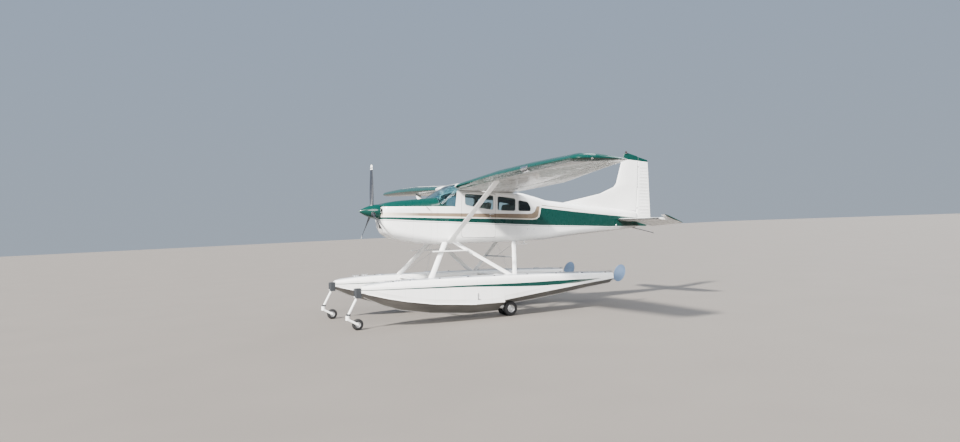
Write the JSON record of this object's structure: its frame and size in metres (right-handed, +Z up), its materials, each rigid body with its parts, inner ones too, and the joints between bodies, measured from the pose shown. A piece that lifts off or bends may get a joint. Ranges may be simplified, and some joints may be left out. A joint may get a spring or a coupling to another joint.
{
  "type": "amphibious floatplane",
  "caption": "High-wing floatplane with a propeller in the nose, parked on the wheels of its amphibious floats, with doors, flaps, ailerons, tail controls and water rudders that move.",
  "frame": {"origin": "middle of the bounding box at ground level", "axes": "+Z up, nose toward -Y, port wing toward +X"},
  "size_m": [10.886, 8.5296, 3.7076],
  "materials": {
    "white_paint": "gloss",
    "green_paint": "gloss",
    "float_paint": "gloss",
    "grey_metal": "satin",
    "dark_metal": "satin",
    "blade_paint": "satin",
    "tyre": "matte",
    "window": "gloss",
    "seat_cloth": "matte",
    "panel_black": "matte",
    "pale_blue_paint": "satin"
  },
  "bodies": {
    "airframe": {"cabin_shell": "white_paint", "rear_glass_port": "window", "quarter_glass_port": "window", "rear_glass_starboard": "window", "quarter_glass_starboard": "window", "windshield": "window", "cowl_upper": "green_paint", "cowl_lower": "white_paint", "engine_block": "dark_metal", "stabiliser": "white_paint", "fin": "white_paint", "tailcone": "white_paint", "tail_rod": "dark_metal", "wing_port": "white_paint", "wing_strut_port": "white_paint", "wing_starboard": "white_paint", "wing_strut_starboard": "white_paint", "wing_centre": "white_paint", "instrument_panel": "panel_black", "seat_front_port": "seat_cloth", "seat_front_starboard": "seat_cloth", "seat_rear_bench": "seat_cloth", "float_port": "float_paint", "nose_leg_port": "white_paint", "main_leg_port": "white_paint", "float_starboard": "float_paint", "nose_leg_starboard": "white_paint", "main_leg_starboard": "white_paint", "front_strut_port": "white_paint", "front_strut_starboard": "white_paint", "diagonal_strut_port": "white_paint", "diagonal_strut_starboard": "white_paint", "rear_strut_port": "white_paint", "rear_strut_starboard": "white_paint", "spreader_front": "white_paint", "spreader_rear": "white_paint", "rear_brace_bar": "white_paint"},
    "propeller": {"propeller": "blade_paint", "spinner": "green_paint"},
    "rudder": {"rudder": "white_paint"},
    "elevator": {"elevator": "white_paint"},
    "door_port": {"door_port": "white_paint", "door_glass_port": "window"},
    "flap_port": {"flap_port": "white_paint"},
    "aileron_port": {"aileron_port": "white_paint"},
    "nose_fork_port": {"nose_fork_port": "grey_metal"},
    "nose_wheel_port": {"nose_wheel_port": "tyre"},
    "main_wheels_port": {"main_wheels_port": "tyre"},
    "water_rudder_post_port": {"water_rudder_post_port": "grey_metal"},
    "water_rudder_blade_port": {"water_rudder_blade_port": "pale_blue_paint"},
    "door_starboard": {"door_starboard": "white_paint", "door_glass_starboard": "window"},
    "flap_starboard": {"flap_starboard": "white_paint"},
    "aileron_starboard": {"aileron_starboard": "white_paint"},
    "nose_fork_starboard": {"nose_fork_starboard": "grey_metal"},
    "nose_wheel_starboard": {"nose_wheel_starboard": "tyre"},
    "main_wheels_starboard": {"main_wheels_starboard": "tyre"},
    "water_rudder_post_starboard": {"water_rudder_post_starboard": "grey_metal"},
    "water_rudder_blade_starboard": {"water_rudder_blade_starboard": "pale_blue_paint"}
  },
  "joints": [
    {"name": "propeller_spin", "type": "hinge", "parent": "airframe", "child": "propeller", "pos_m": [0, -3.60975, 2.41151], "axis": [0, 0.9984, -0.0558], "continuous": true},
    {"name": "rudder_turn", "type": "hinge", "parent": "airframe", "child": "rudder", "pos_m": [0, 3.7238, 2.0015], "axis": [0, 0.0937, 0.9956], "range_deg": [-24, 24]},
    {"name": "elevator_lift", "type": "hinge", "parent": "airframe", "child": "elevator", "pos_m": [0, 3.58123, 1.95939], "axis": [1, 0, 0], "range_deg": [0, 45]},
    {"name": "door_port_swing", "type": "hinge", "parent": "airframe", "child": "door_port", "pos_m": [0.575, -1.41218, 2.28864], "axis": [0, -0.0558, -0.9984], "range_deg": [0, 70]},
    {"name": "flap_port_drop", "type": "hinge", "parent": "airframe", "child": "flap_port", "pos_m": [0.64, -0.37263, 2.6736], "axis": [-0.9995, -0.0018, -0.0319], "range_deg": [0, 40]},
    {"name": "aileron_port_turn", "type": "hinge", "parent": "airframe", "child": "aileron_port", "pos_m": [2.57, -0.36292, 2.86526], "axis": [0.9938, -0.0969, 0.0544], "range_deg": [-14, 20]},
    {"name": "door_starboard_swing", "type": "hinge", "parent": "airframe", "child": "door_starboard", "pos_m": [-0.575, -1.41218, 2.28864], "axis": [0, 0.0558, 0.9984], "range_deg": [0, 70]},
    {"name": "flap_starboard_drop", "type": "hinge", "parent": "airframe", "child": "flap_starboard", "pos_m": [-0.64, -0.37263, 2.6736], "axis": [-0.9995, 0.0018, 0.0319], "range_deg": [0, 40]},
    {"name": "aileron_starboard_turn", "type": "hinge", "parent": "airframe", "child": "aileron_starboard", "pos_m": [-2.57, -0.36292, 2.86526], "axis": [0.9938, 0.0969, -0.0544], "range_deg": [-20, 14]},
    {"name": "nose_caster_port", "type": "hinge", "parent": "airframe", "child": "nose_fork_port", "pos_m": [1.136, -4.22023, 0.25323], "axis": [0, 0.0164, 0.9999], "range_deg": [-60, 60]},
    {"name": "nose_wheel_port_roll", "type": "hinge", "parent": "nose_fork_port", "child": "nose_wheel_port", "pos_m": [1.136, -4.02249, 0.11399], "axis": [1, 0, 0], "continuous": true},
    {"name": "main_wheels_port_roll", "type": "hinge", "parent": "airframe", "child": "main_wheels_port", "pos_m": [1.136, -0.67132, 0.15798], "axis": [1, 0, 0], "continuous": true},
    {"name": "water_rudder_port_steer", "type": "hinge", "parent": "airframe", "child": "water_rudder_post_port", "pos_m": [1.136, 2.07845, 0.66996], "axis": [0, 0.0164, 0.9999], "range_deg": [-28, 28]},
    {"name": "water_rudder_port_lower", "type": "hinge", "parent": "water_rudder_post_port", "child": "water_rudder_blade_port", "pos_m": [1.136, 2.13613, 0.589], "axis": [-1, 0, 0], "range_deg": [0, 105]},
    {"name": "nose_caster_starboard", "type": "hinge", "parent": "airframe", "child": "nose_fork_starboard", "pos_m": [-1.136, -4.22023, 0.25323], "axis": [0, 0.0164, 0.9999], "range_deg": [-60, 60]},
    {"name": "nose_wheel_starboard_roll", "type": "hinge", "parent": "nose_fork_starboard", "child": "nose_wheel_starboard", "pos_m": [-1.136, -4.02249, 0.11399], "axis": [1, 0, 0], "continuous": true},
    {"name": "main_wheels_starboard_roll", "type": "hinge", "parent": "airframe", "child": "main_wheels_starboard", "pos_m": [-1.136, -0.67132, 0.15798], "axis": [1, 0, 0], "continuous": true},
    {"name": "water_rudder_starboard_steer", "type": "hinge", "parent": "airframe", "child": "water_rudder_post_starboard", "pos_m": [-1.136, 2.07845, 0.66996], "axis": [0, 0.0164, 0.9999], "range_deg": [-28, 28]},
    {"name": "water_rudder_starboard_lower", "type": "hinge", "parent": "water_rudder_post_starboard", "child": "water_rudder_blade_starboard", "pos_m": [-1.136, 2.13613, 0.589], "axis": [-1, 0, 0], "range_deg": [0, 105]}
  ],
  "couplings": [
    {"joint": "flap_starboard_drop", "follows": "flap_port_drop", "ratio": 1},
    {"joint": "aileron_starboard_turn", "follows": "aileron_port_turn", "ratio": -1},
    {"joint": "water_rudder_starboard_steer", "follows": "water_rudder_port_steer", "ratio": 1},
    {"joint": "water_rudder_starboard_lower", "follows": "water_rudder_port_lower", "ratio": 1}
  ]
}
